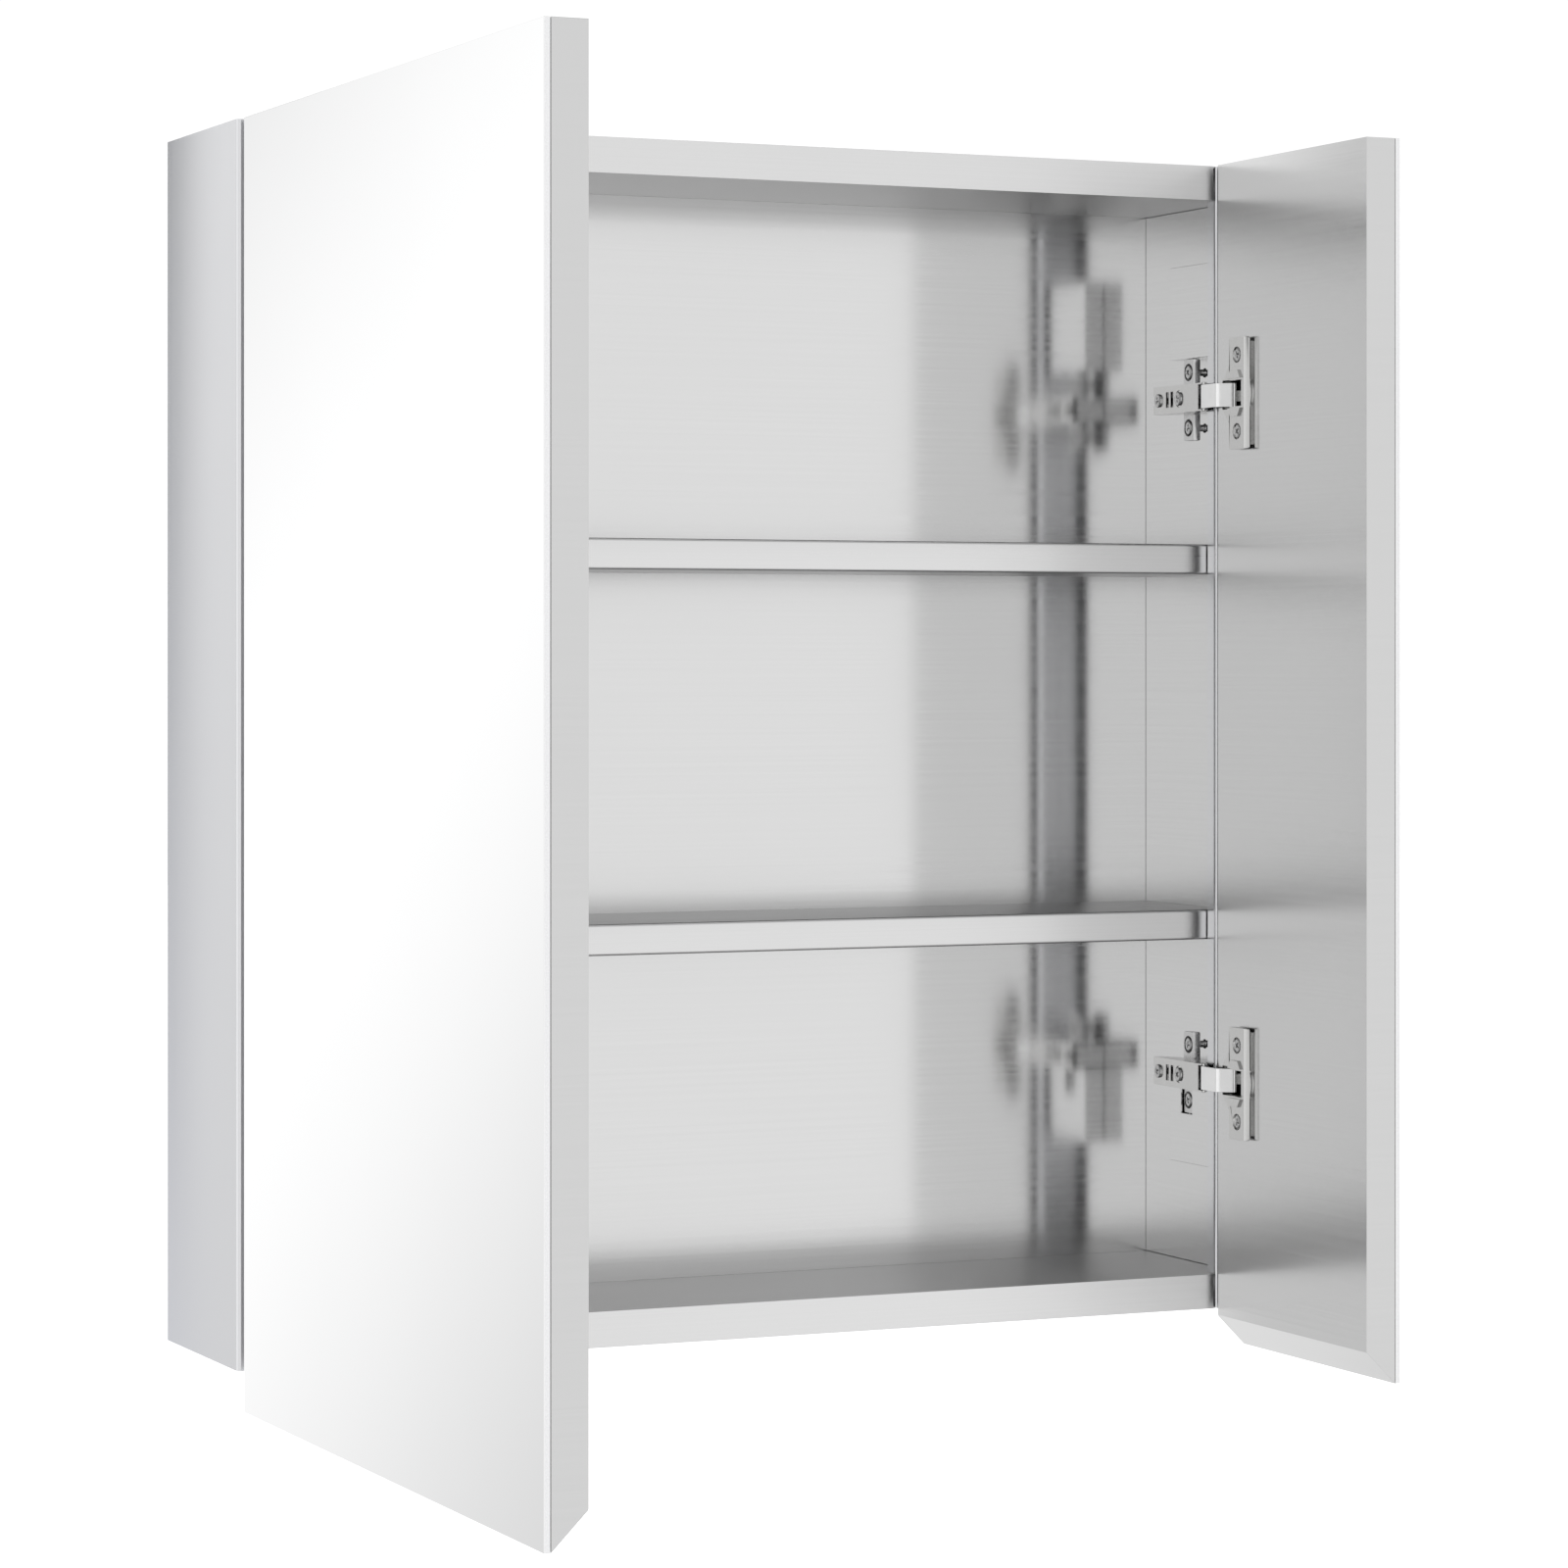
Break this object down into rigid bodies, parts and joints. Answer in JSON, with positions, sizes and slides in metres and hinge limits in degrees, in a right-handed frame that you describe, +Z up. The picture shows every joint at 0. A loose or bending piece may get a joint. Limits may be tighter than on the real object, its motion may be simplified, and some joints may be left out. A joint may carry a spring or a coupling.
{
  "type": "medicine cabinet",
  "caption": "Wall-hung stainless steel medicine cabinet with unequal mirrored doors on concealed cup hinges and fixed shelves inside.",
  "frame": {"origin": "on the wall, in the middle of the hanging rail's back face", "axes": "+X to the right seen from the front, +Y into the wall, +Z up; the doors face -Y"},
  "size_m": [0.6, 0.5627, 0.6705],
  "materials": {
    "body_steel": "brushed, fine horizontal grain",
    "shelf_steel": "brushed, grain along the shelf",
    "door_steel": "brushed, fine horizontal grain",
    "mirror_glass": "silvered float glass with ground edges",
    "hinge_nickel": "nickel-plated pressed steel",
    "link_nickel": "bright nickel plate",
    "plate_zinc": "nickel-plated die-cast zinc",
    "screw_zinc": "bright zinc plate"
  },
  "bodies": {
    "cabinet": {"left_side_panel": "body_steel", "left_side_liner": "body_steel", "right_side_panel": "body_steel", "right_side_liner": "body_steel", "top_panel": "body_steel", "bottom_panel": "body_steel", "back_panel": "body_steel", "hanging_rail": "body_steel", "lower_shelf": "shelf_steel", "upper_shelf": "shelf_steel", "hinge_block_left_lower": "body_steel", "mounting_plate_left_lower": "plate_zinc", "hinge_arm_left_lower": "hinge_nickel", "link_pin_left_lower": "hinge_nickel", "plate_screw_upper_left_lower": "screw_zinc", "plate_screw_lower_left_lower": "screw_zinc", "side_screw_left_lower": "screw_zinc", "hinge_block_left_upper": "body_steel", "mounting_plate_left_upper": "plate_zinc", "hinge_arm_left_upper": "hinge_nickel", "link_pin_left_upper": "hinge_nickel", "plate_screw_upper_left_upper": "screw_zinc", "plate_screw_lower_left_upper": "screw_zinc", "side_screw_left_upper": "screw_zinc", "hinge_block_right_lower": "body_steel", "mounting_plate_right_lower": "plate_zinc", "hinge_arm_right_lower": "hinge_nickel", "link_pin_right_lower": "hinge_nickel", "plate_screw_upper_right_lower": "screw_zinc", "plate_screw_lower_right_lower": "screw_zinc", "side_screw_right_lower": "screw_zinc", "hinge_block_right_upper": "body_steel", "mounting_plate_right_upper": "plate_zinc", "hinge_arm_right_upper": "hinge_nickel", "link_pin_right_upper": "hinge_nickel", "plate_screw_upper_right_upper": "screw_zinc", "plate_screw_lower_right_upper": "screw_zinc", "side_screw_right_upper": "screw_zinc"},
    "left_door": {"left_door_pan": "door_steel", "left_mirror": "mirror_glass", "hinge_cup_left_lower": "hinge_nickel", "cup_screw_upper_left_lower": "screw_zinc", "cup_screw_lower_left_lower": "screw_zinc", "hinge_cup_left_upper": "hinge_nickel", "cup_screw_upper_left_upper": "screw_zinc", "cup_screw_lower_left_upper": "screw_zinc"},
    "left_links": {"hinge_link_left_lower": "link_nickel", "hinge_link_left_upper": "link_nickel"},
    "right_door": {"right_door_pan": "door_steel", "right_mirror": "mirror_glass", "hinge_cup_right_lower": "hinge_nickel", "cup_screw_upper_right_lower": "screw_zinc", "cup_screw_lower_right_lower": "screw_zinc", "hinge_cup_right_upper": "hinge_nickel", "cup_screw_upper_right_upper": "screw_zinc", "cup_screw_lower_right_upper": "screw_zinc"},
    "right_links": {"hinge_link_right_lower": "link_nickel", "hinge_link_right_upper": "link_nickel"}
  },
  "joints": [
    {"name": "left_door_swing", "type": "hinge", "parent": "cabinet", "child": "left_door", "pos_m": [-0.28935, -0.14085, -0.26], "axis": [0, 0, 1], "range_deg": [-20, 90]},
    {"name": "left_link_turn", "type": "hinge", "parent": "cabinet", "child": "left_links", "pos_m": [-0.2738, -0.1208, -0.26], "axis": [0, 0, 1], "range_deg": [-35, 8]},
    {"name": "right_door_swing", "type": "hinge", "parent": "cabinet", "child": "right_door", "pos_m": [0.28935, -0.14085, -0.26], "axis": [0, 0, -1], "range_deg": [-20, 90]},
    {"name": "right_link_turn", "type": "hinge", "parent": "cabinet", "child": "right_links", "pos_m": [0.2738, -0.1208, -0.26], "axis": [0, 0, -1], "range_deg": [-35, 8]}
  ],
  "couplings": [
    {"joint": "left_link_turn", "follows": "left_door_swing", "ratio": -0.379},
    {"joint": "right_link_turn", "follows": "right_door_swing", "ratio": -0.379}
  ]
}
